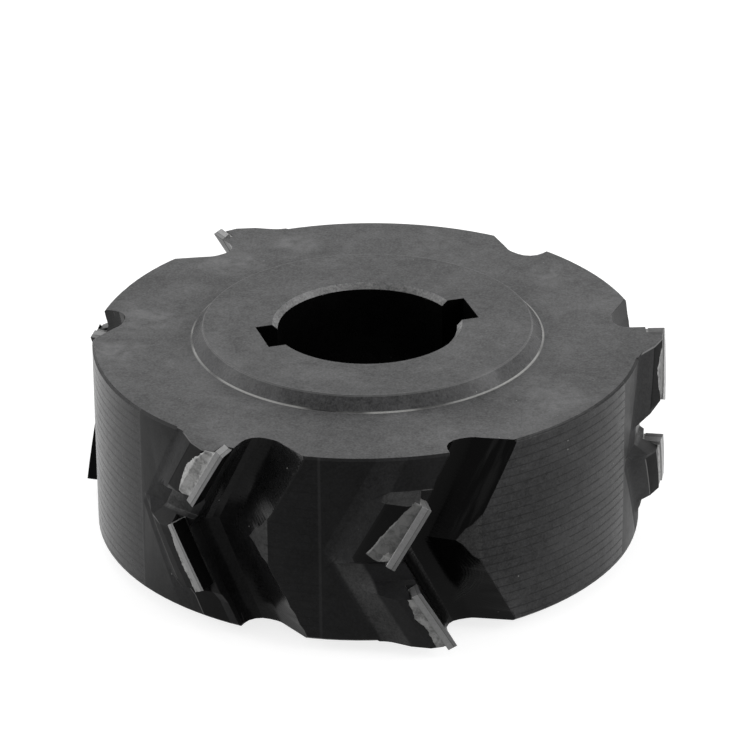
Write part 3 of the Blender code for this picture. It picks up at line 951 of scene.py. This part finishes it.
def soften_body(node, material):
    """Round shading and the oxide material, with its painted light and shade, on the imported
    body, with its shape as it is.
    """
    node.material_slots[0].material = material
    tree = bpy.data.node_groups.new("even_shading", "GeometryNodeTree")
    tree.interface.new_socket("Geometry", in_out="INPUT", socket_type="NodeSocketGeometry")
    tree.interface.new_socket("Geometry", in_out="OUTPUT", socket_type="NodeSocketGeometry")
    g = Graph(tree)
    source, target = g.node("NodeGroupInput"), g.node("NodeGroupOutput")
    weld = g.node("GeometryNodeMergeByDistance")
    weld.inputs["Distance"].default_value = 0.000002
    g.put(weld.inputs["Geometry"], source.outputs[0])
    sharp = g.node("FunctionNodeCompare", data_type="FLOAT", operation="GREATER_THAN")
    g.put(sharp.inputs[0], g.node("GeometryNodeInputMeshEdgeAngle").outputs["Unsigned Angle"])
    sharp.inputs[1].default_value = math.radians(22)
    shade = g.node("GeometryNodeSetMeshNormal", mode="SHARPNESS")
    g.put(shade.inputs["Mesh"], weld.outputs["Geometry"])
    shade.inputs["Remove Custom"].default_value = True
    g.put(shade.inputs["Edge Sharpness"], sharp.outputs[0])
    g.put(target.inputs[0], shade.outputs["Mesh"])
    step = node.modifiers.new("even_shading", "NODES")
    step.node_group = tree


# Studio


def make_camera():
    data = bpy.data.cameras.new("camera")
    camera = bpy.data.objects.new("camera", data)
    bpy.context.scene.collection.objects.link(camera)
    turns = Euler([math.radians(turn) for turn in CAMERA_TURNS])
    camera.matrix_world = Matrix.LocRotScale(Vector(CAMERA_PLACE), turns, None)
    data.sensor_width = CAMERA_SENSOR
    data.lens = CAMERA_LENS
    data.clip_start = 0.01
    bpy.context.scene.camera = camera


def make_world():
    """White where it is seen; dimmer as light, and darkest in front as a mirrored room."""
    world = bpy.data.worlds.new("studio")
    bpy.context.scene.world = world
    world.use_nodes = True
    g = Graph(world.node_tree)
    back = world.node_tree.nodes["Background"]
    path = g.node("ShaderNodeLightPath")
    toward = g.parts(g.node("ShaderNodeTexCoord").outputs["Generated"])
    mirrored = g.level(g.step(toward[1], -0.2, -0.8), 1.0, 0.3)
    strength = g.level(path.outputs["Is Glossy Ray"], 0.45, mirrored)
    seen = (path.outputs["Is Camera Ray"], path.outputs["Is Transmission Ray"])
    seen = g.math("ADD", *seen, clamp=True)
    g.put(back.inputs["Strength"], g.level(seen, strength, 1.0))
    back.inputs["Color"].default_value = (1, 1, 1, 1)


def make_floor():
    bm = bmesh.new()
    bmesh.ops.create_circle(bm, cap_ends=True, segments=96, radius=3.0)
    mesh = bpy.data.meshes.new("studio_floor")
    bm.to_mesh(mesh)
    bm.free()
    floor = bpy.data.objects.new("studio_floor", mesh)
    floor.location.z = -0.00002
    bpy.context.scene.collection.objects.link(floor)
    material, g, shader, place = new_material("studio_floor")
    shader.inputs["Base Color"].default_value = (0.42, 0.42, 0.42, 1)
    shader.inputs["Roughness"].default_value = 0.9
    shader.inputs["Specular IOR Level"].default_value = 0.0
    shader.inputs["Emission Color"].default_value = (1, 1, 1, 1)
    path = g.node("ShaderNodeLightPath")
    spot = g.parts(place)
    shine = g.level(g.step(spot[1], -0.085, -0.005), 0.03, 0.78)
    shine = g.times(shine, g.level(g.step(spot[0], -0.03, 0.03), 1.0, 0.9))
    mirrored = g.times(path.outputs["Is Glossy Ray"], shine)
    glow = g.math("MULTIPLY_ADD", path.outputs["Is Camera Ray"], 0.78, mirrored)
    g.put(shader.inputs["Emission Strength"], glow)
    mesh.materials.append(material)


def make_lamp(name, place, size, watts):
    data = bpy.data.lights.new(name, "AREA")
    data.shape = "RECTANGLE"
    data.size, data.size_y = size
    data.energy = watts
    lamp = bpy.data.objects.new(name, data)
    bpy.context.scene.collection.objects.link(lamp)
    lamp.location = place
    lamp.rotation_mode = "QUATERNION"
    lamp.rotation_quaternion = (Vector(LAMP_AIM) - Vector(place)).to_track_quat("-Z", "Y")


def main():
    for thing in list(bpy.data.objects):
        bpy.data.objects.remove(thing, do_unlink=True)
    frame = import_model()
    soften_body(frame["nodes"]["cutter_body"], steel())
    layers = [
        tip_material("polished_diamond", 0.0005, 0.003, 0.30, 0.0, 2400, 0.000001),
        tip_material("ground_diamond", 0.10, 0.25, 0.34, 0.4, 3000, 0.000003),
        tip_material("bond_line", 0.05, 0.12, 0.5, 0.3, 3000, 0.000002),
        tip_material("ground_hard_metal", 0.16, 0.33, 0.34, 0.5, 2600, 0.000003),
    ]
    bright = braze_material("silver_braze", 0.07, 0.33, 0.45)
    # A darker braze: a dull film at the first following upper tip, painted shade at the other
    # upper tips
    dull = braze_material("dull_and_shaded_braze", 0.05, 0.15, 0.35)
    # A near-black braze: painted shade in the joint under each tip
    shadowed = braze_material("painted_shade_braze", 0.006, 0.020, 0.0)
    for row, (name, apexes, side, centre) in enumerate(rows()):
        for number, apex in enumerate(apexes, start=1):
            seed = row * 3 + number
            tip = make_tip(f"{name}_blade_{number}", apex, side, centre, layers)
            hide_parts(f"{name}_tip_{number}")
            # Painted shade: the upper tips' films at the second and third gullets take the darker
            # braze
            film = [dull] if name.endswith("upper") and number > 1 else [bright]
            if name == "following_upper" and number == 1:
                film = [dull, bright]
            joint = (apex, side, centre, name, seed)
            make_film(f"{name}_braze_run_{number}", *joint, film)
            make_bead(f"{name}_braze_bead_{number}", *joint, [bright, shadowed])
    make_camera()
    make_world()
    make_floor()
    for name, place, size, watts in LAMPS:
        make_lamp(name, place, size, watts)
    bpy.context.scene.view_settings.view_transform = "Standard"


main()
